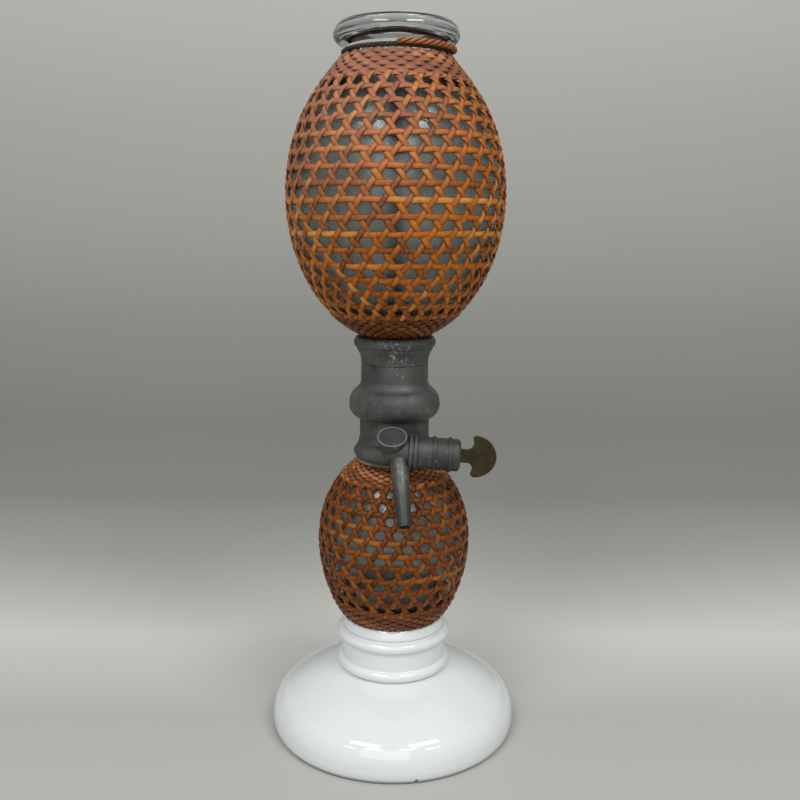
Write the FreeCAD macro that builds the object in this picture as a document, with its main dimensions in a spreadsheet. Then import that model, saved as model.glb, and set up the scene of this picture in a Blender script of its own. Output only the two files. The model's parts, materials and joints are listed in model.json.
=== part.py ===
import FreeCAD, Part

import math
import os

import Sketcher

# Soda siphon of two cane-covered glass globes on a porcelain foot, in millimetres.
# The origin is the centre of the face that it stands on, +Z is up, and the tap faces -Y with its key on +X.

SIZES = {
    # Porcelain foot: a shallow dome, hollow underneath, with a collar of two beads
    "foot_radius": 77.6, "foot_edge_height": 8.5, "foot_rest_radius": 75.8, "foot_rest_width": 6.5,
    "foot_edge_bow": 0.7, "shoulder_radius": 67.0, "shoulder_height": 25.7, "shoulder_bow": 2.91,
    "dome_top": 40.6, "dome_bow": 1.97, "foot_wall": 6.0, "under_bow": 4.2, "foot_height": 66.8,
    "foot_collar_radius": 33.0, "foot_bead_half": 3.3, "foot_bead_bow": 2.9, "foot_bead_low": 40.9,
    "foot_bead_top": 66.3, "socket_radius": 27.8, "socket_floor": 46.0, "drain_radius": 6.0,
    "collar_edge": 0.5, "socket_edge": 0.8,
    "foot_cement_top": 66.2,
    # Lower globe, which holds the powders
    "lower_radius": 47.7, "lower_equator": 124.8, "lower_rise": 57.5, "lower_drop": 68.0,
    "lower_stub_radius": 22.0, "lower_stub_bottom": 49.0, "lower_neck_radius": 15.5,
    "lower_neck_bore": 10.8, "lower_neck_top": 180.5, "lower_cane_bottom": 74.0, "lower_cane_top": 174.7,
    # Upper globe, which holds the water, with its glass foot on top
    "upper_radius": 65.25, "upper_equator": 334.4, "upper_semi": 86.5, "upper_shoulder": 400.9,
    "shoulder_slope": 0.83, "upper_neck_radius": 15.0, "upper_neck_bore": 11.5, "upper_neck_lip": 17.5,
    "lip_height": 4.5, "stub_radius": 28.4, "crown_under": 417.6, "crown_low_radius": 33.2,
    "crown_low": 418.9, "crown_radius": 36.4, "crown_widest": 424.2, "crown_height": 430.4,
    "crown_top_radius": 32.0, "crown_bow": 0.95, "punt_depth": 1.2, "punt_flat": 8.0,
    "upper_cane_bottom": 251.9, "upper_cane_top": 412.6, "flat_radius": 14.0,
    # Glass walls, and the cane on the glass
    "glass_wall": 4.6, "cane_depth": 2.7, "cane_gap": 0.2, "band_row": 2.6, "band_swell": 0.35,
    "lower_band_high": 165.6, "lower_band_low": 87.0, "upper_band_high": 398.0, "upper_band_low": 265.2,
    "rope_size": 2.8, "lower_rope_radius": 29.3, "upper_rope_radius": 30.3, "rope_lift": 0.2,
    "tail_size": 3.3, "tail_radius": 33.4, "tail_height": 415.7, "tail_angle": 96.0,
    "tail_start_angle": -88.0,
    # Tin column, which is cemented on the lower neck and carries the tap and the coupling
    "skirt_bottom": 177.2, "skirt_rim": 23.4, "skirt_radius": 24.9, "skirt_widest": 182.0,
    "skirt_neck": 21.8, "skirt_neck_height": 188.0, "skirt_low_bow": 0.8, "skirt_high_bow": 0.5,
    "column_radius": 21.3, "column_step": 190.5, "column_top": 203.2, "chamber_radius": 13.5,
    "cement_radius": 18.4, "ledge": 182.5, "cement_recess": 1.5, "spigot_radius": 19.0,
    "spigot_top": 217.5,
    # Tin collar, which is cemented on the upper neck and screws over the spigot
    "nut_bottom": 202.0, "nut_rim": 23.2, "nut_radius": 27.8, "nut_widest": 210.9, "nut_shoulder": 24.4,
    "nut_shoulder_height": 219.0, "nut_end_height": 224.6, "nut_low_bow": 1.45, "nut_high_bow": 0.87,
    "nut_hollow_bow": 0.77, "nut_bore": 19.3, "nut_mouth": 21.8, "nut_mouth_depth": 2.4,
    "collar_radius": 20.5, "collar_step": 234.6, "collar_groove": 0.5, "collar_flare": 23.0,
    "collar_flare_height": 244.0, "collar_flare_bow": 0.75, "collar_bead": 24.9,
    "collar_bead_low": 245.0, "collar_top": 251.5, "bead_bow": 1.7, "gasket_height": 3.0,
    # Gas tube, its plug and washer
    "tube_radius": 4.5, "tube_bore": 3.0, "tube_bottom": 168.0, "tube_top": 398.0,
    "plug_flange": 13.1, "plug_flange_height": 2.2, "plug_radius": 10.1, "plug_bottom": 171.0,
    "gas_hole": 0.8, "gas_circle": 7.4, "washer_radius": 16.0, "seat_gap": 0.05,
    # Tap: its barrel lies along X in front of the column
    "tap_reach": 32.0, "tap_height": 187.8, "barrel_dip_angle": 4.0, "arm_radius": 6.0, "arm_tip": 4.6, "arm_reach": 31.0,
    "arm_height": 183.9, "arm_across": 16.6, "arm_back": 9.2, "arm_drop": 1.1, "inlet_from": -2.5,
    "inlet_bore": 2.2, "inlet_deep": 22.0, "boss_radius": 5.2, "hub_radius": 8.4,
    "hub_back": -6.2, "hub_back_radius": 5.6, "hub_start": -3.7, "hub_end": 8.0, "hub_step": 0.6,
    "tap_end": 13.2, "flange_radius": 11.0, "flange_neck": 9.5, "flange_ring": 1.8, "valve_bore": 6.0,
    "seat_face": -1.0, "tower_radius": 8.7, "tower_root": 6.8, "tower_tilt_angle": 28.6,
    "tower_length": 10.8, "tower_shift": -1.2, "plate_depth": 0.9, "plate_thickness": 0.5,
    "plate_rim": 0.8, "spout_root": 5.9, "spout_tip": 3.9, "spout_bore": 3.0, "spout_lean_angle": 36.0,
    "spout_side_angle": 4.7, "spout_length": 46.8, "spout_shift": 2.3,
    # Bonnet, gland and valve, measured along the barrel from the column's axis
    "bonnet_start": 13.8, "bonnet_end": 33.3, "bonnet_radius": 9.5, "bonnet_ring": 10.4, "ring_half": 0.75,
    "bonnet_ring_one": 23.3, "bonnet_ring_two": 32.4, "bonnet_nose": 7.0, "packing_start": 26.0,
    "packing_end": 30.0, "packing_radius": 5.2, "gland_end": 38.6, "edge_chamfer": 1.2,
    "spindle_radius": 3.0, "spindle_start": 3.4, "spindle_play": 0.25, "disc_radius": 4.8,
    "disc_start": 1.0, "leather_radius": 3.9,
    # Wing key, whose heights are measured from the barrel's axis
    "key_start": 39.1, "key_neck": 3.8, "key_neck_end": 42.2, "key_hook": 46.4, "key_hook_height": 8.2,
    "key_hook_bow": 1.5, "key_tip": 45.6, "key_tip_height": 11.0, "key_centre": 47.8, "key_radius": 12.3,
    "key_bow": 3.7, "key_crown": 47.0, "key_thickness": 3.2, "tang_end": 44.5, "tang_radius": 1.1,
}

ORIGIN = FreeCAD.Vector(0, 0, 0)
UP = FreeCAD.Vector(0, 0, 1)
ACROSS = FreeCAD.Vector(0, 1, 0)

doc = FreeCAD.newDocument("SodaSiphon")
sheet = doc.addObject("Spreadsheet::Sheet", "Sizes")
for row, (alias, number) in enumerate(SIZES.items(), start=1):
    sheet.set(f"A{row}", alias)
    sheet.set(f"B{row}", str(number))
    sheet.setAlias(f"B{row}", alias)
doc.recompute()


def size(text):
    """The value of an expression in the sheet's names."""
    return float(sheet.evalExpression(text))


def sheet_text(text):
    """The expression with each driving dimension's name led by the sheet's own."""
    words, word = [], ""
    for letter in text + " ":
        if letter.isalnum() or letter == "_":
            word += letter
            continue
        words.append("Sizes." + word if word in SIZES else word)
        words.append(letter)
        word = ""
    return "".join(words).strip()


def bind(thing, **expressions):
    """Ties properties of an object to the sheet, where a double underscore stands for a dot."""
    for name, text in expressions.items():
        thing.setExpression(name.replace("__", "."), sheet_text(text))
    return thing


def ends(corner):
    """The sketch's numbers of the first and last points of a corner's piece. Its arcs run anticlockwise,
    so an arc that bulges to the left is drawn backwards."""
    return (2, 1) if corner[-1] == -1 else (1, 2)


def outline(body, corners):
    """A closed sketch in the body's XZ plane through corners of (across, up).
    A corner of (across, up, bow, turn) starts an arc to the next corner that bulges by its bow, to the
    right of the way along the outline where turn is 1, and to its left where turn is -1."""
    sketch = body.newObject("Sketcher::SketchObject", body.Name + "_outline")
    plane = next(f for f in body.Origin.OriginFeatures if f.Role == "XZ_Plane")
    sketch.AttachmentSupport = (plane, [""])
    sketch.MapMode = "FlatFace"
    places = [FreeCAD.Vector(size(corner[0]), size(corner[1]), 0) for corner in corners]
    pieces = []
    for corner, start, end in zip(corners, places, places[1:] + places[:1]):
        if len(corner) == 2:
            pieces.append(Part.LineSegment(start, end))
            continue
        way = end - start
        side = FreeCAD.Vector(way.y, -way.x, 0).normalize() * corner[3]
        middle = (start + end) * 0.5 + side * size(corner[2])
        first, last = (start, end) if corner[3] == 1 else (end, start)
        pieces.append(Part.Arc(first, middle, last))
    sketch.addGeometry(pieces, False)
    for index, corner in enumerate(corners):
        start_point, end_point = ends(corner)
        following = (index + 1) % len(corners)
        next_point = ends(corners[following])[0]
        sketch.addConstraint(Sketcher.Constraint("Coincident", index, end_point, following, next_point))
        for kind, text in (("DistanceX", corner[0]), ("DistanceY", corner[1])):
            rule = Sketcher.Constraint(kind, -1, 1, index, start_point, size(text))
            sketch.setExpression(f"Constraints[{sketch.addConstraint(rule)}]", sheet_text(text))
        if len(corner) == 4:
            across, up = (f"(({corners[following][axis]}) - ({corner[axis]}))" for axis in (0, 1))
            radius = f"({across}^2 + {up}^2) / (8 * {corner[2]}) + ({corner[2]}) / 2"
            rule = Sketcher.Constraint("Radius", index, size(radius))
            sketch.setExpression(f"Constraints[{sketch.addConstraint(rule)}]", sheet_text(radius))
    return sketch


def turned(label, corners):
    """A body turned about its Z axis from corners of (radius, height)."""
    body = doc.addObject("PartDesign::Body", label)
    sketch = outline(body, corners)
    feature = body.newObject("PartDesign::Revolution", label + "_turned")
    feature.Profile = sketch
    feature.ReferenceAxis = (sketch, ["V_Axis"])
    feature.Angle = 360
    return body


def on_barrel(thing, quarter=90):
    """Turns a piece's Z axis along the tap's barrel, which dips a little towards the key. A piece that
    already lies along X has no quarter turn."""
    thing.Placement.Rotation = FreeCAD.Rotation(ACROSS, quarter + size("barrel_dip_angle"))
    return bind(thing, Placement__Base__y="-tap_reach", Placement__Base__z="tap_height")


def cylinder(name, radius, length, placement=FreeCAD.Placement()):
    rod = doc.addObject("Part::Cylinder", name)
    rod.Placement = placement
    return bind(rod, Radius=radius, Height=length)


def cone(name, start_radius, end_radius, length, placement):
    taper = doc.addObject("Part::Cone", name)
    taper.Placement = placement
    return bind(taper, Radius1=start_radius, Radius2=end_radius, Height=length)


def joined(label, things):
    whole = doc.addObject("Part::MultiFuse", label)
    whole.Shapes = things
    return whole


def cut(label, base, tool):
    result = doc.addObject("Part::Cut", label)
    result.Base = base
    result.Tool = tool
    return result


def aimed(start, way):
    """A placement whose Z axis runs from a start along a way."""
    return FreeCAD.Placement(start, FreeCAD.Rotation(UP, way))


def spun(label, edges):
    """A solid turned about Z from a closed ring of edges in the XZ plane."""
    face = Part.Face(Part.Wire(Part.__sortEdges__(edges)))
    feature = doc.addObject("Part::Feature", label)
    feature.Shape = face.revolve(ORIGIN, UP, 360)
    return feature


def spot(radius, height):
    return FreeCAD.Vector(radius, 0, height)


def lines(*corners):
    """Straight edges through corners of (radius, height)."""
    spots = [spot(*corner) for corner in corners]
    return [Part.makeLine(a, b) for a, b in zip(spots, spots[1:])]


class Egg:
    """A surface turned about Z: half ellipses above and below its widest place, and above a shoulder,
    where it has one, a straight slope."""

    def __init__(self, radius, widest, rise, drop, shoulder=math.inf):
        self.radius, self.widest, self.rise, self.drop = radius, widest, rise, drop
        self.shoulder = shoulder

    def inset(self, depth):
        return Egg(self.radius - depth, self.widest, self.rise - depth, self.drop - depth, self.shoulder)

    def semi(self, height):
        return self.rise if height > self.widest else self.drop

    def at(self, height):
        """The radius at a height."""
        round_height = min(height, self.shoulder)
        share = (round_height - self.widest) / self.semi(round_height)
        return self.radius * math.sqrt(1 - share * share) - size("shoulder_slope") * (height - round_height)

    def height(self, radius, side):
        """The height above (side 1) or below (side -1) the widest place where the radius is this one."""
        if side > 0 and self.shoulder < math.inf and radius < self.at(self.shoulder):
            return self.shoulder + (self.at(self.shoulder) - radius) / size("shoulder_slope")
        reach = math.sqrt(1 - (radius / self.radius) ** 2)
        return self.widest + side * reach * (self.rise if side > 0 else self.drop)

    def round_edge(self, low, high):
        """A smooth edge along one half ellipse."""
        steps = 10
        semi = self.semi((low + high) / 2)
        start, end = (math.asin((z - self.widest) / semi) for z in (low, high))
        spots = []
        for step in range(steps + 1):
            angle = start + (end - start) * step / steps
            spots.append(spot(self.radius * math.cos(angle), self.widest + semi * math.sin(angle)))
        curve = Part.BSplineCurve()
        curve.interpolate(spots)
        return curve.toShape()

    def edges(self, low, high):
        """The surface's edges from one height up to another."""
        stops = [low] + [z for z in (self.widest, self.shoulder) if low < z < high] + [high]
        result = []
        for start, end in zip(stops, stops[1:]):
            if start >= self.shoulder:
                result += lines((self.at(start), start), (self.at(end), end))
            else:
                result.append(self.round_edge(start, end))
        return result


LOWER = Egg(size("lower_radius"), size("lower_equator"), size("lower_rise"), size("lower_drop"))
UPPER = Egg(size("upper_radius"), size("upper_equator"), size("upper_semi"), size("upper_semi"),
            size("upper_shoulder"))


def cane_shell(label, egg, low, high):
    """The open cane weave's whole thickness over the glass, from one height up to another."""
    inner = egg.inset(size("cane_depth"))
    sides = egg.edges(low, high) + inner.edges(low, high)
    ends = lines((inner.at(low), low), (egg.at(low), low))
    ends += lines((inner.at(high), high), (egg.at(high), high))
    return spun(label, sides + ends)


def cane_band(label, egg, low, high):
    """A close band of cane rows, each a rounded ring round the glass."""
    inner = egg.inset(size("cane_depth"))
    inner_low = max(low, inner.height(size("upper_neck_radius + cane_gap"), -1))
    count = round((high - low) / size("band_row"))
    stops = [low + (high - low) * row / count for row in range(count + 1)]
    edges = inner.edges(inner_low, high)
    for start, end in zip(stops, stops[1:]):
        middle = (start + end) / 2
        swollen = spot(egg.at(middle) + size("band_swell"), middle)
        edges.append(Part.Arc(spot(egg.at(start), start), swollen, spot(egg.at(end), end)).toShape())
    edges += lines((inner.at(inner_low), inner_low), (egg.at(low), low))
    edges += lines((inner.at(high), high), (egg.at(high), high))
    return spun(label, edges)


def rope_ring(label, radius, height, thickness):
    ring = doc.addObject("Part::Torus", label)
    return bind(ring, Radius1=radius, Radius2=thickness + " / 2", Placement__Base__z=height)


def make_foot():
    """The glazed foot: it stands on a ring, and its collar's socket holds the lower globe in cement."""
    inside_low = ("shoulder_radius - 0.6 * foot_wall", "shoulder_height - 0.8 * foot_wall")
    collar = []
    for low in ("foot_bead_low", "foot_bead_top - 2 * foot_bead_half"):
        collar.append(("foot_collar_radius", low, "foot_bead_bow", 1))
        collar.append(("foot_collar_radius", low + " + 2 * foot_bead_half"))
    foot = turned("porcelain_foot", [
        ("foot_rest_radius - foot_rest_width", "0"),
        ("foot_rest_radius", "0", "foot_edge_bow", 1),
        ("foot_radius", "foot_edge_height", "shoulder_bow", 1),
        ("shoulder_radius", "shoulder_height", "dome_bow", 1),
        ("foot_collar_radius", "dome_top"),
        *collar,
        ("foot_collar_radius - collar_edge", "foot_height"),
        ("socket_radius + socket_edge", "foot_height"),
        ("socket_radius", "foot_height - socket_edge"),
        ("socket_radius", "socket_floor"),
        ("drain_radius", "socket_floor"),
        ("drain_radius", "socket_floor - foot_wall", "under_bow", -1),
        inside_low])
    cement = turned("foot_cement", [
        ("drain_radius", "socket_floor"), ("socket_radius", "socket_floor"),
        ("socket_radius", "foot_cement_top"), ("lower_stub_radius", "foot_cement_top"),
        ("lower_stub_radius", "lower_stub_bottom"), ("drain_radius", "lower_stub_bottom")])
    return [foot, cement]


def make_lower_globe():
    """The lower globe: a solid glass stub below, and an open neck above."""
    outer = LOWER.inset(size("cane_depth + cane_gap"))
    inner = LOWER.inset(size("cane_depth + cane_gap + glass_wall"))
    stub, bottom = size("lower_stub_radius"), size("lower_stub_bottom")
    neck, bore, top = size("lower_neck_radius"), size("lower_neck_bore"), size("lower_neck_top")
    flat = size("flat_radius")
    edges = lines((0, bottom), (stub, bottom), (stub, outer.height(stub, -1)))
    edges += outer.edges(outer.height(stub, -1), outer.height(neck, 1))
    edges += lines((neck, outer.height(neck, 1)), (neck, top), (bore, top), (bore, inner.height(bore, 1)))
    edges += inner.edges(inner.height(flat, -1), inner.height(bore, 1))
    edges += lines((flat, inner.height(flat, -1)), (0, inner.height(flat, -1)), (0, bottom))
    return [spun("lower_globe", edges)]


def make_upper_globe():
    """The upper globe: its neck points down, and its glass foot closes it on top."""
    outer = UPPER.inset(size("cane_depth + cane_gap"))
    inner = UPPER.inset(size("cane_depth + cane_gap + glass_wall"))
    inner.shoulder = math.inf
    neck, bore, lip = size("upper_neck_radius"), size("upper_neck_bore"), size("upper_neck_lip")
    bottom, stub, flat = size("spigot_top + gasket_height"), size("stub_radius"), size("flat_radius")
    crown, top = size("crown_radius"), size("crown_height")
    lip_top = bottom + size("lip_height")
    edges = lines((bore, bottom), (lip, bottom), (lip, lip_top), (neck, lip_top),
                  (neck, outer.height(neck, -1)))
    edges += outer.edges(outer.height(neck, -1), outer.height(stub, 1))
    low_edge = (size("crown_low_radius"), size("crown_low"))
    edges += lines((stub, outer.height(stub, 1)), (stub, size("crown_under")), low_edge)
    rim, widest = size("crown_top_radius"), size("crown_widest")
    edges.append(bowed(low_edge, (crown, widest), size("crown_bow")))
    edges.append(bowed((crown, widest), (rim, top), size("crown_bow")))
    hollow, punt = size("punt_flat"), top - size("punt_depth")
    edges.append(bowed((rim, top), (hollow, punt), size("punt_depth / 8")))
    edges += lines((hollow, punt), (0, punt), (0, inner.height(flat, 1)), (flat, inner.height(flat, 1)))
    edges += inner.edges(inner.height(bore, -1), inner.height(flat, 1))
    edges += lines((bore, inner.height(bore, -1)), (bore, bottom))
    return [spun("upper_globe", edges)]


def bowed(start, end, bow):
    """An arc between two spots that bulges by its bow to the right of the way."""
    first, last = spot(*start), spot(*end)
    way = last - first
    side = FreeCAD.Vector(way.z, 0, -way.x).normalize()
    return Part.Arc(first, (first + last) * 0.5 + side * bow, last).toShape()


def make_cane():
    """The cane over both globes: an open weave between close bands, with a rope along each open edge."""
    tail = rope_ring("upper_rope_tail", "tail_radius", "tail_height", "tail_size")
    bind(tail, Angle3="tail_angle")
    tail.Placement.Rotation = FreeCAD.Rotation(UP, size("tail_start_angle"))
    return [
        cane_band("lower_cane_bottom_band", LOWER, size("lower_cane_bottom"), size("lower_band_low")),
        cane_shell("lower_cane_lattice", LOWER, size("lower_band_low"), size("lower_band_high")),
        cane_band("lower_cane_top_band", LOWER, size("lower_band_high"), size("lower_cane_top")),
        rope_ring("lower_cane_edge", "lower_rope_radius", "lower_cane_bottom - rope_size / 2 - rope_lift",
                  "rope_size"),
        cane_band("upper_cane_bottom_band", UPPER, size("upper_cane_bottom"), size("upper_band_low")),
        cane_shell("upper_cane_lattice", UPPER, size("upper_band_low"), size("upper_band_high")),
        cane_band("upper_cane_top_band", UPPER, size("upper_band_high"), size("upper_cane_top")),
        rope_ring("upper_cane_edge", "upper_rope_radius", "upper_cane_top + rope_size / 2 + rope_lift",
                  "rope_size"),
        tail]


def make_column():
    """The tin column with the tap's hub: cast in one, then bored for the water's way to the valve."""
    column = turned("column_casting", [
        ("0", "skirt_bottom"),
        ("skirt_rim", "skirt_bottom", "skirt_low_bow", 1),
        ("skirt_radius", "skirt_widest", "skirt_high_bow", -1),
        ("skirt_neck", "skirt_neck_height"),
        ("column_radius", "column_step"),
        ("column_radius", "column_top"),
        ("spigot_radius", "column_top"),
        ("spigot_radius", "spigot_top"),
        ("0", "spigot_top")])
    hub = on_barrel(turned("hub_casting", [
        ("0", "hub_back"),
        ("hub_back_radius", "hub_back"),
        ("hub_radius", "hub_start"),
        ("hub_radius", "hub_end"),
        ("flange_radius", "hub_end + hub_step"),
        ("flange_radius", "hub_end + hub_step + flange_ring"),
        ("flange_neck", "hub_end + hub_step + flange_ring"),
        ("flange_neck", "tap_end - flange_ring"),
        ("flange_radius", "tap_end - flange_ring"),
        ("flange_radius", "tap_end"),
        ("0", "tap_end")]))
    inlet_end = FreeCAD.Vector(size("inlet_from"), -size("tap_reach"), size("tap_height"))
    boss = cylinder("inlet_boss", "boss_radius", "inlet_deep", aimed(inlet_end, ACROSS))
    tilt = math.radians(size("tower_tilt_angle"))
    tower_way = FreeCAD.Vector(0, -math.sin(tilt), math.cos(tilt))
    tower_start = FreeCAD.Vector(size("tower_shift"), -size("tap_reach"), size("tap_height"))
    tower = cone("tower", "tower_root", "tower_radius", "tower_length", aimed(tower_start, tower_way))
    arm_start = FreeCAD.Vector(0, -size("arm_reach"), size("arm_height"))
    arm_way = FreeCAD.Vector(-size("arm_across"), size("arm_back"), -size("arm_drop"))
    arm = cone("arm", "arm_radius", "arm_tip", "sqrt(arm_across^2 + arm_back^2 + arm_drop^2)",
               aimed(arm_start, arm_way))
    outside = joined("column_outside", [column, hub, boss, tower, arm])
    recess_start = tower_start + tower_way * size("tower_length - plate_depth")
    hollow = turned("column_hollow", [
        ("0", "skirt_bottom - 1"), ("cement_radius", "skirt_bottom - 1"), ("cement_radius", "ledge"),
        ("chamber_radius", "ledge"), ("chamber_radius", "spigot_top + 1"), ("0", "spigot_top + 1")])
    valve_room = on_barrel(turned("valve_room", [
        ("0", "inlet_from - inlet_bore"), ("inlet_bore", "inlet_from - inlet_bore"),
        ("inlet_bore", "seat_face"),
        ("valve_bore", "seat_face"), ("valve_bore", "tap_end + 1"), ("0", "tap_end + 1")]))
    inlet = cylinder("inlet_way", "inlet_bore", "inlet_deep", aimed(inlet_end, ACROSS))
    recess = cylinder("plate_recess", "tower_radius - plate_rim", "tower_length",
                      aimed(recess_start, tower_way))
    outlet = cylinder("outlet_way", "spout_bore", "spout_length", spout_placement())
    tools = joined("column_bores", [hollow, valve_room, inlet, recess, outlet])
    plate = cylinder("tap_plate", "tower_radius - plate_rim", "plate_thickness",
                     aimed(recess_start, tower_way))
    return outside, [cut("tap_column", outside, tools), plate]


def spout_placement():
    """The spout's axis: down from the barrel's axis, leaning forward and a little towards the key."""
    lean, side = math.radians(size("spout_lean_angle")), math.radians(size("spout_side_angle"))
    way = FreeCAD.Vector(math.sin(side), -math.sin(lean), -math.cos(lean))
    start = FreeCAD.Vector(size("spout_shift"), -size("tap_reach"), size("tap_height"))
    return aimed(start, way)


def make_spout(column_outside):
    taper = cone("spout_taper", "spout_root", "spout_tip", "spout_length", spout_placement())
    bore = cylinder("spout_bore_way", "spout_bore", "spout_length + 1", spout_placement())
    return [cut("spout", cut("spout_outside", taper, column_outside), bore)]


def make_bonnet():
    """The bonnet screws into the tap, and its gland nut presses the packing on the spindle."""
    rings = []
    for centre in ("bonnet_ring_one", "bonnet_ring_two"):
        low, high = centre + " - ring_half", centre + " + ring_half"
        rings += [("bonnet_radius", low), ("bonnet_ring", low), ("bonnet_ring", high),
                  ("bonnet_radius", high)]
    bonnet = turned("bonnet", [
        ("spindle_radius + spindle_play", "bonnet_nose"),
        ("valve_bore - seat_gap", "bonnet_nose"),
        ("valve_bore - seat_gap", "bonnet_start"),
        ("bonnet_radius", "bonnet_start"),
        *rings,
        ("bonnet_radius", "bonnet_end"),
        ("packing_radius", "bonnet_end"),
        ("packing_radius", "packing_start"),
        ("spindle_radius + spindle_play", "packing_start")])
    washer = turned("bonnet_washer", [
        ("valve_bore", "tap_end"), ("bonnet_radius", "tap_end"), ("bonnet_radius", "bonnet_start"),
        ("valve_bore", "bonnet_start")])
    packing = turned("gland_packing", [
        ("spindle_radius + seat_gap", "packing_start"), ("packing_radius", "packing_start"),
        ("packing_radius", "packing_end"), ("spindle_radius + seat_gap", "packing_end")])
    gland = turned("gland_nut", [
        ("spindle_radius + spindle_play", "packing_end"), ("packing_radius - 0.1", "packing_end"),
        ("packing_radius - 0.1", "bonnet_end"), ("bonnet_radius", "bonnet_end"),
        ("bonnet_radius", "gland_end - edge_chamfer"), ("bonnet_radius - edge_chamfer", "gland_end"),
        ("spindle_radius + spindle_play", "gland_end")])
    return [on_barrel(piece) for piece in (bonnet, washer, packing, gland)]


def make_valve():
    """The valve's loose disc with its leather, and the spindle that lifts it."""
    disc = turned("valve_disc", [
        ("0", "disc_start"), ("disc_radius", "disc_start"), ("disc_radius", "spindle_start - seat_gap"),
        ("0", "spindle_start - seat_gap")])
    leather = turned("valve_leather", [
        ("0", "seat_face + seat_gap"), ("leather_radius", "seat_face + seat_gap"),
        ("leather_radius", "disc_start"), ("0", "disc_start")])
    spindle = turned("spindle", [
        ("0", "spindle_start"), ("spindle_radius", "spindle_start"), ("spindle_radius", "key_start"),
        ("tang_radius", "key_start"), ("tang_radius", "tang_end"), ("0", "tang_end")])
    return [on_barrel(piece) for piece in (disc, leather, spindle)]


def make_key():
    """The flat wing key: a neck, two hooked bites and a round crown, bored for the spindle's tang."""
    crown_height = "sqrt(key_radius^2 - (key_centre - key_crown)^2)"
    plate = doc.addObject("PartDesign::Body", "key_plate")
    sketch = outline(plate, [
        ("key_start", "-key_neck"),
        ("key_neck_end", "-key_neck", "key_hook_bow", -1),
        ("key_hook", "-key_hook_height"),
        ("key_tip", "-key_tip_height"),
        ("key_crown", "-" + crown_height, "key_bow", 1),
        ("key_centre + key_radius", "0", "key_bow", 1),
        ("key_crown", crown_height),
        ("key_tip", "key_tip_height"),
        ("key_hook", "key_hook_height", "key_hook_bow", -1),
        ("key_neck_end", "key_neck"),
        ("key_start", "key_neck")])
    pad = plate.newObject("PartDesign::Pad", "key_pad")
    pad.Profile = sketch
    pad.SideType = "Symmetric"
    bind(pad, Length="key_thickness")
    on_barrel(plate, quarter=0)
    bore = on_barrel(cylinder("key_bore", "tang_radius", "tang_end"))
    return [cut("wing_key", plate, bore)]


def make_tube():
    """The gas tube, held by a plug in the lower neck that is drilled round it to let the gas up."""
    tube = turned("gas_tube", [
        ("tube_bore", "tube_bottom"), ("tube_radius", "tube_bottom"), ("tube_radius", "tube_top"),
        ("tube_bore", "tube_top")])
    blank = turned("plug_blank", [
        ("tube_radius", "plug_bottom"), ("plug_radius", "plug_bottom"), ("plug_radius", "ledge"),
        ("plug_flange", "ledge"), ("plug_flange", "ledge + plug_flange_height"),
        ("tube_radius", "ledge + plug_flange_height")])
    holes = []
    for index in range(6):
        angle = index * math.tau / 6
        hole = cylinder(f"gas_hole_{index + 1}", "gas_hole", "spigot_top - plug_bottom")
        hole.Placement.Base = FreeCAD.Vector(math.cos(angle), math.sin(angle), 0) * size("gas_circle")
        holes.append(bind(hole, Placement__Base__z="plug_bottom - 1"))
    plug = cut("gas_plug", blank, joined("gas_holes", holes))
    washer = turned("plug_washer", [
        ("lower_neck_bore", "lower_neck_top"), ("washer_radius", "lower_neck_top"),
        ("washer_radius", "ledge"), ("lower_neck_bore", "ledge")])
    cement = turned("lower_neck_cement", [
        ("lower_neck_radius", "skirt_bottom + cement_recess"), ("cement_radius", "skirt_bottom + cement_recess"),
        ("cement_radius", "ledge"), ("washer_radius", "ledge"), ("washer_radius", "lower_neck_top"),
        ("lower_neck_radius", "lower_neck_top")])
    return [tube, plug, washer, cement]


def make_collar():
    """The tin collar on the upper neck, whose nut screws over the spigot and presses the gasket on it."""
    collar = turned("upper_collar", [
        ("nut_mouth", "nut_bottom"),
        ("nut_rim", "nut_bottom", "nut_low_bow", 1),
        ("nut_radius", "nut_widest", "nut_high_bow", 1),
        ("nut_shoulder", "nut_shoulder_height", "nut_hollow_bow", -1),
        ("collar_radius", "nut_end_height"),
        ("collar_radius", "collar_step"),
        ("collar_radius - collar_groove", "collar_step + collar_groove"),
        ("collar_radius", "collar_step + 2 * collar_groove", "collar_flare_bow", -1),
        ("collar_flare", "collar_flare_height"),
        ("collar_bead - bead_bow", "collar_bead_low", "bead_bow", 1),
        ("collar_bead - bead_bow", "collar_top"),
        ("cement_radius", "collar_top"),
        ("cement_radius", "spigot_top + gasket_height"),
        ("nut_bore", "spigot_top + gasket_height"),
        ("nut_bore", "nut_bottom + nut_mouth_depth"),
        ("nut_mouth", "nut_bottom + nut_mouth_depth")])
    lip_top = "spigot_top + gasket_height + lip_height"
    cement = turned("upper_neck_cement", [
        ("upper_neck_lip", "spigot_top + gasket_height"), ("cement_radius", "spigot_top + gasket_height"),
        ("cement_radius", "collar_top - cement_recess"), ("upper_neck_radius", "collar_top - cement_recess"),
        ("upper_neck_radius", lip_top), ("upper_neck_lip", lip_top)])
    gasket = turned("coupling_gasket", [
        ("upper_neck_bore", "spigot_top + seat_gap"), ("spigot_radius", "spigot_top + seat_gap"),
        ("spigot_radius", "spigot_top + gasket_height - seat_gap"),
        ("upper_neck_bore", "spigot_top + gasket_height - seat_gap")])
    return [collar, cement, gasket]


column_outside, column_parts = make_column()
parts = make_foot() + make_lower_globe() + column_parts + make_spout(column_outside) + make_bonnet()
parts += make_valve() + make_key() + make_tube() + make_collar() + make_upper_globe() + make_cane()
doc.recompute()

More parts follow.
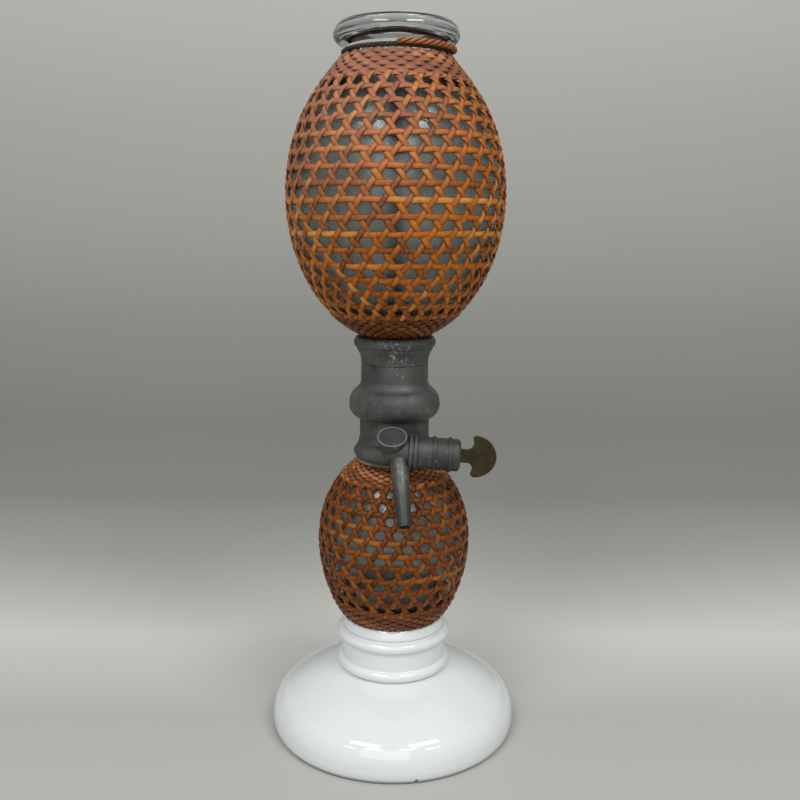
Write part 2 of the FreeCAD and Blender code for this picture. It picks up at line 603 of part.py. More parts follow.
for thing in doc.Objects:
    if "Invalid" in thing.State or "Error" in thing.State:
        raise SystemExit(f"{thing.Name} did not compute: {thing.State}")
os.makedirs("parts", exist_ok=True)
for part in parts:
    if part.Shape.isNull() or not part.Shape.isValid():
        raise SystemExit(f"{part.Label} has no sound shape")
    part.Shape.exportStep(f"parts/{part.Label}.step")
    print(part.Label, round(part.Shape.Volume), len(part.Shape.Solids))
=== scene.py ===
import json
import math

import bpy
import numpy as np
from mathutils import Euler, Matrix, Vector


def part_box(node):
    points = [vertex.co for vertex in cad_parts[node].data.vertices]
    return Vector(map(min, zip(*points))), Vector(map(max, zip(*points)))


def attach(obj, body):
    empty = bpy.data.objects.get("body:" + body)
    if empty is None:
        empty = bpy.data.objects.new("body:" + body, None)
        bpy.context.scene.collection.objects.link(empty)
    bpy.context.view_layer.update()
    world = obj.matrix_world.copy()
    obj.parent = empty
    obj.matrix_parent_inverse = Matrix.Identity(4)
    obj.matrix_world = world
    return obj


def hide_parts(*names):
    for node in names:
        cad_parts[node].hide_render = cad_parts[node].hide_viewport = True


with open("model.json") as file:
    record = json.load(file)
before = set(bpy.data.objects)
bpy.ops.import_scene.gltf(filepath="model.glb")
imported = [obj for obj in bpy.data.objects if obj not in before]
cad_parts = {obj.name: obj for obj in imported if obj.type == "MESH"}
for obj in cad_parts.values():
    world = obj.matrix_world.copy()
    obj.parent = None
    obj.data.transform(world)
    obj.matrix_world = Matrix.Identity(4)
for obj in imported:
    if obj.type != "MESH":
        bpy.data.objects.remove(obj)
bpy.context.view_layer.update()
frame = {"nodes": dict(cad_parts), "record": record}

# Lengths are in millimetres here and turn into metres where meshes are made
MM = 0.001

# The camera. The first three are in the photograph's pixels, and the pitch and the roll are in degrees
PHOTO_WIDTH = 800
FOCAL_PIXELS = 920
AXIS_LEFT_OF_CENTRE = 5.5
CAMERA_DISTANCE = 556
CAMERA_HEIGHT = 319.4
CAMERA_PITCH = 10.95
CAMERA_ROLL = 0.34

# Cane: strand sizes, and how far a strand rises and falls where it crosses another
CANE_DEPTH = 2.7
STRAND_WIDTH = 3.4
STRAND_THICKNESS = 1.15
WEAVE_RISE = 0.6

# The globes' eggs: the height of the widest place, how far they reach above and below it, and the straight
# slope over the upper globe's shoulder
UPPER_WIDEST = 334.4
UPPER_REACH = 86.5
UPPER_SHOULDER = 400.9
SHOULDER_SLOPE = 0.83
LOWER_WIDEST = 124.8
LOWER_RISE = 57.5
LOWER_DROP = 68.0

# The loose rope end round the neck, and the lean of the oval plate on the tap in degrees
ROPE_END_RADIUS = 33.2
PLATE_TILT = 28.6


def node_span(node):
    """A node's largest radius, and its lowest and highest height, in millimetres."""
    low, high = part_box(node)
    return high[0] / MM, low[2] / MM, high[2] / MM


class Egg:
    """The outer face of a globe's cane: half ellipses that meet at the widest place, with a straight slope
    above the shoulder where there is one. Places on it are read by angle and by length along its side."""

    def __init__(self, radius, widest, rise, drop, low, high, shoulder=math.inf, slope=0.0):
        self.heights = np.linspace(low - 6, high + 6, 900)
        turned = np.minimum(self.heights, shoulder)
        reach = np.where(turned > widest, rise, drop)
        share = np.clip((turned - widest) / reach, -0.999, 0.999)
        self.radii = radius * np.sqrt(1 - share ** 2) - slope * (self.heights - turned)
        steps = np.hypot(np.diff(self.heights), np.diff(self.radii))
        self.lengths = np.concatenate([[0], np.cumsum(steps)])
        self.leans = np.gradient(self.radii, self.lengths)
        self.climbs = np.gradient(self.heights, self.lengths)

    def length_at(self, height):
        return float(np.interp(height, self.heights, self.lengths))

    def place(self, angle, length, depth):
        """Spots under the outer face, and the directions that point straight out of it there."""
        radius = np.interp(length, self.lengths, self.radii)
        height = np.interp(length, self.lengths, self.heights)
        lean = np.interp(length, self.lengths, self.leans)
        climb = np.interp(length, self.lengths, self.climbs)
        outward = np.stack([climb * np.cos(angle), climb * np.sin(angle), -lean], axis=-1)
        spots = np.stack([radius * np.cos(angle), radius * np.sin(angle), height], axis=-1)
        return spots - outward * np.asarray(depth)[..., None], outward


def ripple(seed, along):
    """A slow uneven wave between about -1 and 1, the same on every run."""
    value = np.zeros_like(along, dtype=float)
    for octave in (1, 2, 3):
        pace = 0.37 * octave + 0.11 * math.sin(seed * 1.7 + octave)
        value = value + np.sin(along * pace + seed * 12.9898 * octave) / (octave + 0.5)
    return value / 1.5


def chance(seed):
    """A number from 0 to 1 that a seed gives, the same on every run."""
    return math.modf(abs(math.sin(seed * 12.9898 + 4.1) * 43758.5453))[0]


class Strands:
    """Many rounded strands gathered into one mesh, each swept along its own line."""

    def __init__(self, name, sides=8):
        self.name = name
        self.sides = sides
        self.spots, self.faces, self.tones, self.tops = [], [], [], []
        self.count = 0

    def add(self, line, outward, width, thickness, tone, closed=False, tapered=False):
        line, outward = np.asarray(line), np.asarray(outward)
        number = len(line)
        if closed:
            along = np.roll(line, -1, axis=0) - np.roll(line, 1, axis=0)
        else:
            along = np.gradient(line, axis=0)
        along /= np.linalg.norm(along, axis=1, keepdims=True)
        across = np.cross(along, outward)
        across /= np.linalg.norm(across, axis=1, keepdims=True)
        rise = np.cross(across, along)
        width = np.broadcast_to(width, number).astype(float).copy()
        thickness = np.broadcast_to(thickness, number).astype(float).copy()
        if tapered:
            ends = np.minimum(np.arange(number), np.arange(number)[::-1])
            narrowing = np.clip((ends + 0.6) / 3.0, 0.2, 1.0)
            width *= narrowing
            thickness *= narrowing
        for side in range(self.sides):
            angle = math.tau * side / self.sides
            swell = math.sin(angle)
            lift = 0.5 * swell * (1.0 if swell > 0 else 0.75)
            reach = 0.5 * math.cos(angle)
            self.spots.append(line + across * (width * reach)[:, None] + rise * (thickness * lift)[:, None])
            self.tops.append(np.full(number, 0.5 + 0.5 * swell))
            self.tones.append(np.broadcast_to(tone, number))
        start = self.count
        rounds = number if closed else number - 1
        for side in range(self.sides):
            here = start + side * number
            there = start + (side + 1) % self.sides * number
            first = np.arange(rounds)
            second = (first + 1) % number
            quads = np.stack([here + first, here + second, there + second, there + first], axis=1)
            self.faces += quads.tolist()
        if not closed:
            for end in (0, number - 1):
                ring = [start + side * number + end for side in range(self.sides)]
                self.faces.append(ring if end else ring[::-1])
        self.count += self.sides * number

    def piece(self, body, nodes, material, slot):
        mesh = bpy.data.meshes.new(self.name)
        spots = np.concatenate(self.spots) * MM
        mesh.from_pydata(spots.tolist(), [], self.faces)
        for label, values in (("tone", self.tones), ("top", self.tops)):
            layer = mesh.attributes.new(label, "FLOAT", "POINT")
            layer.data.foreach_set("value", np.concatenate(values).astype(np.float32))
        mesh.polygons.foreach_set("use_smooth", [True] * len(mesh.polygons))
        mesh.update()
        mesh.materials.append(material)
        thing = bpy.data.objects.new(self.name, mesh)
        bpy.context.scene.collection.objects.link(thing)
        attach(thing, body)
        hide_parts(*nodes)
        return thing


def open_weave(strands, egg, low, high, around, rows, seed):
    """Hexagon cane weave between two heights: level hoops, strands that climb to the right over them, and
    strands that climb to the left under them and over the others."""
    bottom, top = egg.length_at(low), egg.length_at(high)
    step = (top - bottom) / rows
    pitch = math.tau / around
    middle = CANE_DEPTH / 2
    for lean in (1, -1):
        for index in range(around):
            own = seed + index + 100 * lean
            row = np.arange(-0.5, rows + 0.5, 0.1)
            shift = 0 if lean > 0 else 0.5
            angle = pitch * (index + shift + lean * row / 2 + 0.055 * ripple(own, row))
            length = bottom + step * row
            lift = lean * WEAVE_RISE * np.cos(math.tau * row)
            line, outward = egg.place(angle, length, middle - lift)
            width = STRAND_WIDTH * (0.92 + 0.16 * chance(own)) * (1 + 0.08 * ripple(own + 5, row * 2))
            tone = np.clip(chance(own + 0.5) + 0.22 * ripple(own + 9, row), 0, 1)
            strands.add(line, outward, width, STRAND_THICKNESS, tone, tapered=True)
    for row in range(rows + 1):
        own = seed + 300 + row
        turns = np.linspace(0, math.tau, around * 12, endpoint=False)
        wander = 0.3 * np.sin(turns * 2 + own) + 0.22 * np.sin(turns * 5 + own * 2.3)
        wander += 0.14 * np.sin(turns * around + own)
        lift = -WEAVE_RISE * np.cos(around * turns - math.pi * row)
        line, outward = egg.place(turns, bottom + step * row + wander, middle - lift)
        width = STRAND_WIDTH * (0.92 + 0.12 * chance(own) + 0.05 * np.sin(turns * 7 + own))
        tone = np.clip(chance(own + 0.5) + 0.2 * np.sin(turns * 3 + own), 0, 1)
        strands.add(line, outward, width, STRAND_THICKNESS, tone, closed=True)


def close_rows(strands, egg, low, high, around, rows, seed):
    """Close rows of cane over upright stakes, each row over the stakes that its neighbours go under."""
    bottom, top = egg.length_at(low), egg.length_at(high)
    step = (top - bottom) / rows
    middle = CANE_DEPTH / 2
    for index in range(2 * around):
        length = np.linspace(bottom + 0.1, top - 0.1, 3 * rows)
        angle = np.full_like(length, math.pi * (index + 0.5) / around)
        line, outward = egg.place(angle, length, middle + 0.55)
        width = np.interp(length, egg.lengths, egg.radii) * math.pi / around * 1.04
        strands.add(line, outward, width, 0.8, 0.1 * chance(seed + index))
    for row in range(rows):
        own = seed + 500 + row
        turns = np.linspace(0, math.tau, around * 12, endpoint=False)
        wander = 0.18 * np.sin(turns * 3 + own) + 0.12 * np.sin(turns * 11 + own * 1.9)
        wave = np.cos(around * turns + math.pi * row)
        crowd = 1 + 0.24 * wave
        line, outward = egg.place(turns, bottom + step * (row + 0.5) + wander, middle - 0.3 - 0.6 * wave)
        # Besides its own random tone, each row is painted darker where it dips under the stakes and paler where
        # it rises over them: painted shade and light.
        tone = np.clip(0.25 + 0.5 * chance(own) + 0.3 * np.sin(turns * 4 + own) + 0.3 * wave, 0, 1)
        strands.add(line, outward, step * 1.3 * crowd, 1.35, tone, closed=True)


def twisted_rope(strands, radius, height, thickness, start, turn, twist, seed, tone):
    """A rope of three strands laid round the neck, as a whole ring or as an arc whose ends tuck in."""
    whole = abs(turn) >= 360
    count = int(abs(turn) / 360 * 720)
    share = np.linspace(0, 1, count, endpoint=not whole)
    angle = np.radians(start) + np.radians(turn) * share
    tuck = np.zeros_like(share) if whole else np.clip(1 - np.minimum(share, 1 - share) / 0.06, 0, 1) ** 2
    swell = 1.0 if whole else 0.45 + 0.55 * np.clip(np.minimum(share, 1 - share) / 0.12, 0, 1)
    for ply in range(3):
        lay = math.tau * (ply / 3 + twist * share)
        reach = thickness * 0.28
        radii = radius + reach * np.cos(lay) - tuck * 1.3 + 0.12 * np.sin(angle * 9 + seed)
        heights = height + reach * np.sin(lay) - tuck * 0.4
        line = np.stack([radii * np.cos(angle), radii * np.sin(angle), heights], axis=-1)
        outward = np.stack([np.cos(angle) * np.cos(lay), np.sin(angle) * np.cos(lay), np.sin(lay)], axis=-1)
        width, depth = thickness * 0.56 * swell, thickness * 0.52 * swell
        strands.add(line, outward, width, depth, tone + 0.12 * ply, closed=whole)


class Reading:
    """A value that changes over a surface, so that shader maths is written as plain sums."""

    def __init__(self, finish, socket):
        self.finish, self.socket = finish, socket

    def sum(self, operation, first, second):
        made = self.finish.node("ShaderNodeMath", {"operation": operation}, {0: first, 1: second})
        return Reading(self.finish, made.outputs[0])

    def __add__(self, other):
        return self.sum("ADD", self, other)

    def __sub__(self, other):
        return self.sum("SUBTRACT", self, other)

    def __rsub__(self, other):
        return self.sum("SUBTRACT", other, self)

    def __mul__(self, other):
        return self.sum("MULTIPLY", self, other)

    __radd__, __rmul__ = __add__, __mul__


class Finish:
    """A material, built from a shader with constant settings and readings over the surface."""

    def __init__(self, name, **constants):
        self.material = bpy.data.materials.new(name)
        self.material.use_nodes = True
        self.tree = self.material.node_tree
        self.shader = self.tree.nodes["Principled BSDF"]
        for word, value in constants.items():
            self.shader.inputs[word.replace("_", " ")].default_value = value

    def node(self, kind, settings, values):
        """Any node: its settings first, then the values or links of its sockets."""
        made = self.tree.nodes.new(kind)
        for word, value in settings.items():
            if word == "stops":
                self.set_stops(made.color_ramp, value)
            else:
                setattr(made, word, value)
        for socket, value in values.items():
            if isinstance(value, Reading):
                self.tree.links.new(value.socket, made.inputs[socket])
            elif value is not None:
                made.inputs[socket].default_value = value
        return made

    def set_stops(self, ramp, stops):
        while len(ramp.elements) < len(stops):
            ramp.elements.new(0.5)
        for element, (position, colour) in zip(ramp.elements, stops):
            element.position = position
            element.color = (*colour, 1)

    def coordinates(self, stretch=(1, 1, 1)):
        """Places on the part in metres, stretched where a grain or a scratch runs one way."""
        source = self.node("ShaderNodeTexCoord", {}, {})
        placed = Reading(self, source.outputs["Object"])
        scaled = self.node("ShaderNodeVectorMath", {"operation": "MULTIPLY"}, {0: placed, 1: stretch})
        return Reading(self, scaled.outputs[0])

    def noise(self, scale, detail=3, stretch=(1, 1, 1), roughness=0.55):
        made = self.node("ShaderNodeTexNoise", {},
                         {"Vector": self.coordinates(stretch), "Scale": scale, "Detail": detail,
                          "Roughness": roughness})
        return Reading(self, made.outputs["Fac"])

    def cells(self, scale):
        made = self.node("ShaderNodeTexVoronoi", {}, {"Vector": self.coordinates(), "Scale": scale})
        return Reading(self, made.outputs["Distance"])

    def attribute(self, name):
        return Reading(self, self.node("ShaderNodeAttribute", {"attribute_name": name}, {}).outputs["Fac"])

    def between(self, reading, low, high, bottom=0.0, top=1.0):
        """A reading mapped from low..high to bottom..top and held there."""
        made = self.node("ShaderNodeMapRange", {"clamp": True},
                         {"Value": reading, "From Min": low, "From Max": high, "To Min": bottom,
                          "To Max": top})
        return Reading(self, made.outputs["Result"])

    def near(self, place, radius):
        """One at a place on the part, falling to nothing at a radius from it, both in millimetres."""
        spot = [value * MM for value in place]
        gap = self.node("ShaderNodeVectorMath", {"operation": "DISTANCE"},
                        {0: self.coordinates(), 1: spot})
        return self.between(Reading(self, gap.outputs["Value"]), radius * MM, 0.0)

    def height(self):
        """The height over the part's foot, in metres."""
        apart = self.node("ShaderNodeSeparateXYZ", {}, {0: self.coordinates()})
        return Reading(self, apart.outputs["Z"])

    def depth_and_height(self):
        """The way back from the part plus the height, in metres, which grows along the studio's sweep."""
        apart = self.node("ShaderNodeSeparateXYZ", {}, {0: self.coordinates()})
        return Reading(self, apart.outputs["Y"]) + Reading(self, apart.outputs["Z"])

    def mix(self, share, first, second):
        """A colour between two, each a colour or a reading."""
        made = self.node("ShaderNodeMix", {"data_type": "RGBA"}, {"Factor": share})
        for socket, value in ((made.inputs[6], first), (made.inputs[7], second)):
            if isinstance(value, Reading):
                self.tree.links.new(value.socket, socket)
            else:
                socket.default_value = (*value, 1)
        return Reading(self, made.outputs[2])

    def ramp(self, share, *stops):
        made = self.node("ShaderNodeValToRGB", {"stops": stops}, {"Fac": share})
        return Reading(self, made.outputs["Color"])

    def wear(self, socket, reading):
        self.tree.links.new(reading.socket, self.shader.inputs[socket])

    def bump(self, reading, depth, strength=1.0):
        """Raises the surface by a reading, at most by a depth in millimetres."""
        made = self.node("ShaderNodeBump", {},
                         {"Strength": strength, "Distance": depth * MM, "Height": reading})
        self.tree.links.new(made.outputs[0], self.shader.inputs["Normal"])


def cane_finish(name, pale, orange, brown, painted_sheen_share=0.0):
    """Split cane under old varnish: each strand has its own tone, with fine fibres and painted shade on its
    sides and underside, and a painted sheen may pale it towards the top left."""
    finish = Finish(name, Roughness=0.42, Specular_IOR_Level=0.2, Coat_Weight=0.04, Coat_Roughness=0.25)
    tone = finish.attribute("tone")
    body = finish.ramp(tone, (0.0, brown), (0.45, orange), (0.8, orange), (1.0, pale))
    patches = finish.noise(38, 4)
    body = finish.mix(finish.between(patches, 0.42, 0.72, 0.0, 0.55), body, brown)
    stains = finish.noise(240, 3)
    body = finish.mix(finish.between(stains, 0.6, 0.75, 0.0, 0.6), body, (0.05, 0.014, 0.006))
    grain = finish.noise(900, 2, (1, 1, 0.25))
    body = finish.mix(finish.between(grain, 0.35, 0.75, 0.0, 0.35), body, pale)
    # Painted sheen: the cane paled towards the upper left, where the varnish catches the light.
    painted_sheen_spot = finish.near((-45, -45, 405), 110)
    body = finish.mix(painted_sheen_spot * painted_sheen_share, body, (0.42, 0.2, 0.14))
    # Painted shade: each strand darkened on its sides and underside, where it passes under its neighbours.
    painted_edge_shade = finish.between(finish.attribute("top"), 0.3, 0.95, 1.0, 0.0)
    body = finish.mix(painted_edge_shade * 0.85, body, (0.03, 0.009, 0.004))
    finish.wear("Base Color", body)
    finish.wear("Roughness", finish.between(patches, 0.3, 0.7, 0.36, 0.54))
    finish.bump(grain + stains * 0.6, 0.09)
    return finish.material


def tin_finish():
    """Old dull tin: dark grey and blotchy, rubbed brighter in specks and fine scratches, with painted shade
    over the spout and the barrel.
    """
    finish = Finish("dull_tin", Metallic=0.6, Roughness=0.5, Specular_IOR_Level=0.25)
    blotches = finish.noise(55, 5)
    body = finish.ramp(blotches, (0.3, (0.068, 0.07, 0.066)), (0.55, (0.1, 0.102, 0.095)),
                       (0.78, (0.145, 0.145, 0.136)))
    scratches = finish.noise(420, 2, (1, 1, 0.07))
    body = finish.mix(finish.between(scratches, 0.68, 0.78, 0.0, 0.35), body, (0.33, 0.33, 0.31))
    specks = finish.noise(620, 4, (1, 1, 0.6), 0.7)
    rubbed = finish.near((4, -45, 175), 9) + finish.near((5.5, -60, 151), 5)
    rubbed = rubbed + finish.near((0, -24, 244), 20) + finish.near((2, -45, 194), 9)
    rubbed = rubbed + finish.near((22, -38, 186), 16) * 0.7
    worn = finish.between(specks + rubbed * 0.14, 0.66, 0.76, 0.0, 0.8)
    body = finish.mix(worn, body, (0.5, 0.5, 0.47))
    grime = finish.noise(150, 4)
    body = finish.mix(finish.between(grime, 0.56, 0.7, 0.0, 0.55), body, (0.026, 0.027, 0.025))
    # Painted shade: the spout and the tap's barrel darkened by place.
    painted_spout_shade = finish.near((5, -66, 152), 34) * 0.85 + finish.near((30, -34, 186), 26) * 0.5
    body = finish.mix(painted_spout_shade, body, (0.03, 0.031, 0.03))
    finish.wear("Base Color", body)
    finish.wear("Roughness", finish.between(blotches + scratches * 0.3, 0.45, 0.9, 0.6, 0.4))
    finish.bump(grime * 0.6 + specks * 0.2 + blotches, 0.12)
    return finish.material


def brass_finish():
    """Tarnished brass, nearly black-brown, with small dings where it was struck and rubbed."""
    finish = Finish("tarnished_brass", Metallic=0.8, Roughness=0.42)
    blotches = finish.noise(130, 4)
    body = finish.ramp(blotches, (0.32, (0.03, 0.023, 0.011)), (0.6, (0.062, 0.049, 0.022)),
                       (0.8, (0.15, 0.12, 0.06)))
    specks = finish.noise(900, 2)
    body = finish.mix(finish.between(specks, 0.68, 0.76, 0.0, 0.5), body, (0.36, 0.3, 0.16))
    finish.wear("Base Color", body)
    finish.wear("Roughness", finish.between(blotches, 0.3, 0.7, 0.52, 0.34))
    dings = finish.between(finish.cells(260), 0.0, 0.28)
    finish.bump(dings + blotches * 0.4, 0.16)
    return finish.material


def porcelain_finish():
    """White glazed porcelain with faint waves in the glaze, dark at its resting edge, and one small chip."""
    finish = Finish("white_porcelain", Roughness=0.07, Coat_Weight=0.6, Coat_Roughness=0.03, IOR=1.5)
    clouds = finish.noise(16, 3)
    body = finish.mix(clouds, (0.74, 0.775, 0.775), (0.79, 0.82, 0.82))
    hem = finish.between(finish.height(), 0.0032, 0.0007)
    body = finish.mix(hem * 0.9, body, (0.06, 0.055, 0.05))
    chip = finish.near((14, -75.6, 2.2), 1.6)
    body = finish.mix(finish.between(chip, 0.1, 0.5), body, (0.12, 0.1, 0.08))
    finish.wear("Base Color", body)
    finish.bump(finish.noise(28, 2) - chip, 0.25)
    return finish.material


def glass_finish():
    """Old glass, faintly green: hazy and streaked under the cane, and clear in the crown."""
    finish = Finish("old_glass", Transmission_Weight=1.0, Roughness=0.03, IOR=1.48)
    waves = finish.noise(22, 1)
    crown = finish.between(finish.height(), 0.412, 0.416)
    dust = finish.noise(60, 3)
    hazy = finish.mix(dust, (0.8, 0.83, 0.79), (0.9, 0.92, 0.9))
    finish.wear("Base Color", finish.mix(crown, hazy, (0.86, 0.9, 0.89)))
    finish.wear("Roughness", finish.between(crown, 0.0, 1.0, 0.22, 0.02))
    finish.bump(waves, 0.3, 0.35)
    return finish.material


def plain_finish(name, dark, pale, roughness, scale):
    """A dull hidden finish: cement, leather, rubber or packing."""
    finish = Finish(name, Roughness=roughness)
    patches = finish.noise(scale, 4)
    finish.wear("Base Color", finish.mix(patches, dark, pale))
    finish.bump(patches, 0.2)
    return finish.material


def dress_nodes(finishes):
    """Gives every CAD node the finish of its slot in the record."""
    for part in frame["record"]["subparts"]:
        thing = frame["nodes"][part["node"]]
        thing.data.materials.clear()
        thing.data.materials.append(finishes[part["material_slot"]])


def weave_rows(name, node, body, material, egg, low, high, around, rows, seed):
    strands = Strands(name)
    close_rows(strands, egg, low, high, around, rows, seed)
    strands.piece(body, [node], material, "cane")


def weave_upper(cane, dark_cane, low_cane):
    radius, low, high = node_span("upper_cane_lattice")
    _, bottom, _ = node_span("upper_cane_bottom_band")
    _, _, top = node_span("upper_cane_top_band")
    egg = Egg(radius, UPPER_WIDEST, UPPER_REACH, UPPER_REACH, bottom, top, UPPER_SHOULDER, SHOULDER_SLOPE)
    weave = Strands("upper_weave")
    open_weave(weave, egg, low, high, around=30, rows=16, seed=11)
    weave.piece("vessel", ["upper_cane_lattice"], cane, "cane")
    weave_rows("upper_top_rows", "upper_cane_top_band", "vessel", dark_cane,
               egg, high, top, around=25, rows=6, seed=23)
    weave_rows("upper_bottom_rows", "upper_cane_bottom_band", "vessel", low_cane,
               egg, bottom, low, around=26, rows=8, seed=31)


def weave_lower(shaded_cane, dark_cane, low_cane):
    radius, low, high = node_span("lower_cane_lattice")
    _, bottom, _ = node_span("lower_cane_bottom_band")
    _, _, top = node_span("lower_cane_top_band")
    egg = Egg(radius, LOWER_WIDEST, LOWER_RISE, LOWER_DROP, bottom, top)
    weave = Strands("lower_weave")
    open_weave(weave, egg, low, high, around=26, rows=10, seed=47)
    weave.piece("base", ["lower_cane_lattice"], shaded_cane, "cane")
    weave_rows("lower_top_rows", "lower_cane_top_band", "base", dark_cane,
               egg, high, top, around=24, rows=8, seed=59)
    weave_rows("lower_bottom_rows", "lower_cane_bottom_band", "base", low_cane,
               egg, bottom, low, around=26, rows=7, seed=61)


def lay_ropes(cane, rope):
    """The rope ring at each globe's upper cane edge, and the thicker loose end over the upper one."""
    for node, piece, body in (("upper_cane_edge", "upper_edge_rope", "vessel"),
                              ("lower_cane_edge", "lower_edge_rope", "base")):
        reach, low, high = node_span(node)
        thickness = high - low
        ring = Strands(piece)
        twisted_rope(ring, reach - thickness / 2, (low + high) / 2, thickness, start=0, turn=360, twist=24,
                     seed=3, tone=0.0)
        ring.piece(body, [node], rope, "cane")
    _, low, high = node_span("upper_rope_tail")
    tail = Strands("upper_rope_end")
    twisted_rope(tail, ROPE_END_RADIUS, (low + high) / 2, high - low, start=-90, turn=99, twist=4.2, seed=5,
                 tone=0.45)
    tail.piece("vessel", ["upper_rope_tail"], cane, "cane")


def turned_ring(name, profile, place=(0, 0, 0), way=(0, 0, 1), sides=96):
    """A closed ring turned about an axis through a place, from corners of (radius, height) in millimetres."""
    turn = Vector(way).to_track_quat("Z", "Y")
    spots = []
    for side in range(sides):
        angle = math.tau * side / sides
        for radius, height in profile:
            spot = turn @ Vector((radius * math.cos(angle), radius * math.sin(angle), height))
            spots.append((spot + Vector(place)) * MM)
    number = len(profile)
    faces = []
    for side in range(sides):
        here, there = side * number, (side + 1) % sides * number
        for index in range(number):
            after = (index + 1) % number
            faces.append((here + index, there + index, there + after, here + after))
    mesh = bpy.data.meshes.new(name)
    mesh.from_pydata(spots, [], faces)
    mesh.polygons.foreach_set("use_smooth", [True] * len(mesh.polygons))
    thing = bpy.data.objects.new(name, mesh)
    bpy.context.scene.collection.objects.link(thing)
    return thing


def round_profile(radius, height, across, up, corners=10):
    """The corners of an oval section round a place."""
    angles = [math.tau * corner / corners for corner in range(corners)]
    return [(radius + across * math.cos(angle), height + up * math.sin(angle)) for angle in angles]


def seal_edges(porcelain, seam, rubbed_highlight_tin):
    """The foot's inner lip that rises to the cane, the plaster in the seam under the tin skirt, and the rim of
    the oval plate, partly rubbed tin and partly a painted highlight."""
    _, _, collar_top = node_span("porcelain_foot")
    _, cane_bottom, _ = node_span("lower_cane_bottom_band")
    lip_profile = [(27.9, collar_top - 0.4), (32.2, collar_top + 0.05), (31.9, collar_top + 1.4),
                   (30.9, cane_bottom - 0.9), (29.6, cane_bottom - 0.4), (28.4, cane_bottom - 0.8)]
    lip = turned_ring("porcelain_lip", lip_profile)
    _, skirt_bottom, _ = node_span("tap_column")
    filling = turned_ring("seam_plaster", round_profile(22.6, skirt_bottom - 0.4, across=1.0, up=1.3))
    low, high = (Vector(corner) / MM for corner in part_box("tap_plate"))
    tilt = math.radians(PLATE_TILT)
    way = Vector((0, -math.sin(tilt), math.cos(tilt)))
    # The rim gets a paler tin: partly rubbed wear, partly a painted highlight.
    rim_profile = round_profile(8.3, 0.65, across=0.4, up=0.28)
    rim = turned_ring("plate_rim", rim_profile, (low + high) / 2, way, sides=64)
    for thing, material, slot in ((lip, porcelain, "porcelain"), (filling, seam, "cement"),
                                  (rim, rubbed_highlight_tin, "tin")):
        thing.data.materials.append(material)
        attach(thing, "base")


def make_floor():
    """A floor that sweeps up behind the part into a wall, with painted shade: pale under the part, darker at
    the bend and paler towards the top.
    """
    floor_start, sweep_start, sweep_radius, wall_top, half_width = -2.5, 0.3, 0.45, 2.4, 3.0
    side = [(floor_start, 0.0), (sweep_start, 0.0)]
    for step in range(1, 13):
        turn = math.pi / 2 * step / 12
        side.append((sweep_start + sweep_radius * math.sin(turn), sweep_radius * (1 - math.cos(turn))))
    side.append((sweep_start + sweep_radius, wall_top))
    spots = [(x, y, z) for y, z in side for x in (-half_width, half_width)]
    faces = [(2 * i, 2 * i + 1, 2 * i + 3, 2 * i + 2) for i in range(len(side) - 1)]
    mesh = bpy.data.meshes.new("studio_sweep")
    mesh.from_pydata(spots, [], faces)
    mesh.polygons.foreach_set("use_smooth", [True] * len(mesh.polygons))
    finish = Finish("paper_with_painted_shade", Roughness=0.9, Specular_IOR_Level=0.1)
    first, last = -0.1, 1.4
    # Painted shade along the sweep, by the way back plus the height in metres: pale under the part, dark in the
    # bend and paler again towards the top.
    painted_shades = ((0.0, 0.5), (0.12, 0.7), (0.28, 0.49), (0.45, 0.29), (0.62, 0.25), (0.85, 0.3), (1.35, 0.55))
    stops = []
    for way, shade in painted_shades:
        stops.append(((way - first) / (last - first), (shade, shade * 0.99, shade * 0.93)))
    finish.wear("Base Color", finish.ramp(finish.between(finish.depth_and_height(), first, last), *stops))
    mesh.materials.append(finish.material)
    floor = bpy.data.objects.new("studio_sweep", mesh)
    bpy.context.scene.collection.objects.link(floor)


def make_camera():
    lens = bpy.data.cameras.new("camera")
    lens.sensor_width = 36
    lens.lens = FOCAL_PIXELS * lens.sensor_width / PHOTO_WIDTH
    lens.shift_x = AXIS_LEFT_OF_CENTRE / PHOTO_WIDTH
    camera = bpy.data.objects.new("camera", lens)
    camera.location = (0, -CAMERA_DISTANCE * MM, CAMERA_HEIGHT * MM)
    level = Euler((math.radians(90 - CAMERA_PITCH), 0, 0)).to_matrix()
    roll = Matrix.Rotation(math.radians(CAMERA_ROLL), 3, "Z")
    camera.rotation_euler = (level @ roll).to_euler()
    bpy.context.scene.collection.objects.link(camera)
    bpy.context.scene.camera = camera


def make_lamp(name, place, target, width, height, power):
    light = bpy.data.lights.new(name, "AREA")
    light.shape = "RECTANGLE"
    light.size, light.size_y = width, height
    light.energy = power
    lamp = bpy.data.objects.new(name, light)
    lamp.location = place
    way = Vector(target) - Vector(place)
    lamp.rotation_euler = way.to_track_quat("-Z", "Y").to_euler()
    bpy.context.scene.collection.objects.link(lamp)


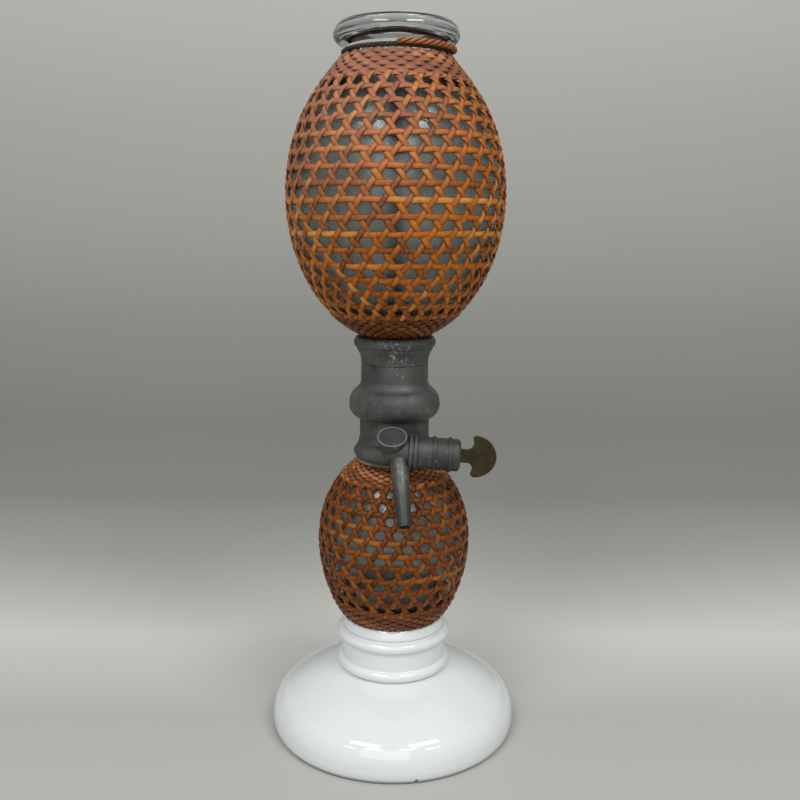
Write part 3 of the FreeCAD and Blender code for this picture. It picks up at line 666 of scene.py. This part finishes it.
def make_light():
    """Soft overhead panels, a wide front fill and a pale room."""
    make_lamp("panel_left", (-0.55, -0.85, 1.35), (0, 0, 0.2), 0.6, 0.25, 6)
    make_lamp("panel_right", (0.6, -0.75, 1.3), (0, 0, 0.2), 0.6, 0.22, 6)
    for index, across in enumerate((-0.95, -0.35, 0.3, 0.9)):
        make_lamp(f"strip_{index + 1}", (across, -1.05, 1.0), (0, 0, 0.1), 0.36, 0.035, 0.8)
    make_lamp("front_fill", (-0.2, -1.6, 0.8), (0, 0, 0.2), 1.4, 0.9, 5)
    world = bpy.data.worlds.new("pale_room")
    world.use_nodes = True
    world.node_tree.nodes["Background"].inputs["Color"].default_value = (0.86, 0.88, 0.9, 1)
    world.node_tree.nodes["Background"].inputs["Strength"].default_value = 0.5
    bpy.context.scene.world = world
    bpy.context.scene.view_settings.view_transform = "Standard"


# The plain and the browned cane carry a painted sheen towards the upper left.
cane = cane_finish("varnished_cane", pale=(0.6, 0.25, 0.045), orange=(0.385, 0.1, 0.003),
                   brown=(0.12, 0.024, 0.003), painted_sheen_share=0.6)
# A copy of the cane with painted shade: the same cane in darker colours, for the lower globe.
shaded_cane = cane_finish("darker_cane", pale=(0.32, 0.11, 0.012), orange=(0.195, 0.046, 0.001),
                          brown=(0.06, 0.012, 0.002))
dark_cane = cane_finish("browned_cane", pale=(0.5, 0.21, 0.085), orange=(0.23, 0.062, 0.014),
                        brown=(0.035, 0.009, 0.004), painted_sheen_share=0.6)
# A copy of the cane with painted shade: darker colours for the globes' bottom rows.
low_cane = cane_finish("bottom_rows_shaded_cane", pale=(0.28, 0.1, 0.02), orange=(0.14, 0.036, 0.003),
                       brown=(0.03, 0.008, 0.003))
rope = cane_finish("blackened_rope", pale=(0.16, 0.14, 0.11), orange=(0.05, 0.045, 0.038),
                   brown=(0.02, 0.019, 0.016))
porcelain = porcelain_finish()
dress_nodes({
    "porcelain": porcelain,
    "cement": plain_finish("plaster", (0.6, 0.6, 0.58), (0.76, 0.76, 0.74), 0.8, 90),
    "glass": glass_finish(),
    "cane": cane,
    "tin": tin_finish(),
    "brass": brass_finish(),
    "leather": plain_finish("oiled_leather", (0.012, 0.01, 0.009), (0.03, 0.024, 0.019), 0.6, 200),
    "rubber": plain_finish("old_rubber", (0.03, 0.026, 0.024), (0.07, 0.06, 0.055), 0.7, 160),
    "packing": plain_finish("waxed_packing", (0.3, 0.26, 0.19), (0.5, 0.45, 0.34), 0.9, 300)})
weave_upper(cane, dark_cane, low_cane)
weave_lower(shaded_cane, dark_cane, low_cane)
lay_ropes(cane, rope)
# The plate rim's paler tin is partly rubbed wear and partly a painted highlight.
seal_edges(porcelain, plain_finish("yellowed_plaster", (0.1, 0.07, 0.04), (0.3, 0.24, 0.15), 0.8, 300),
           plain_finish("rubbed_tin_with_painted_highlight", (0.09, 0.093, 0.09), (0.24, 0.245, 0.23), 0.5, 400))
make_floor()
make_light()
make_camera()
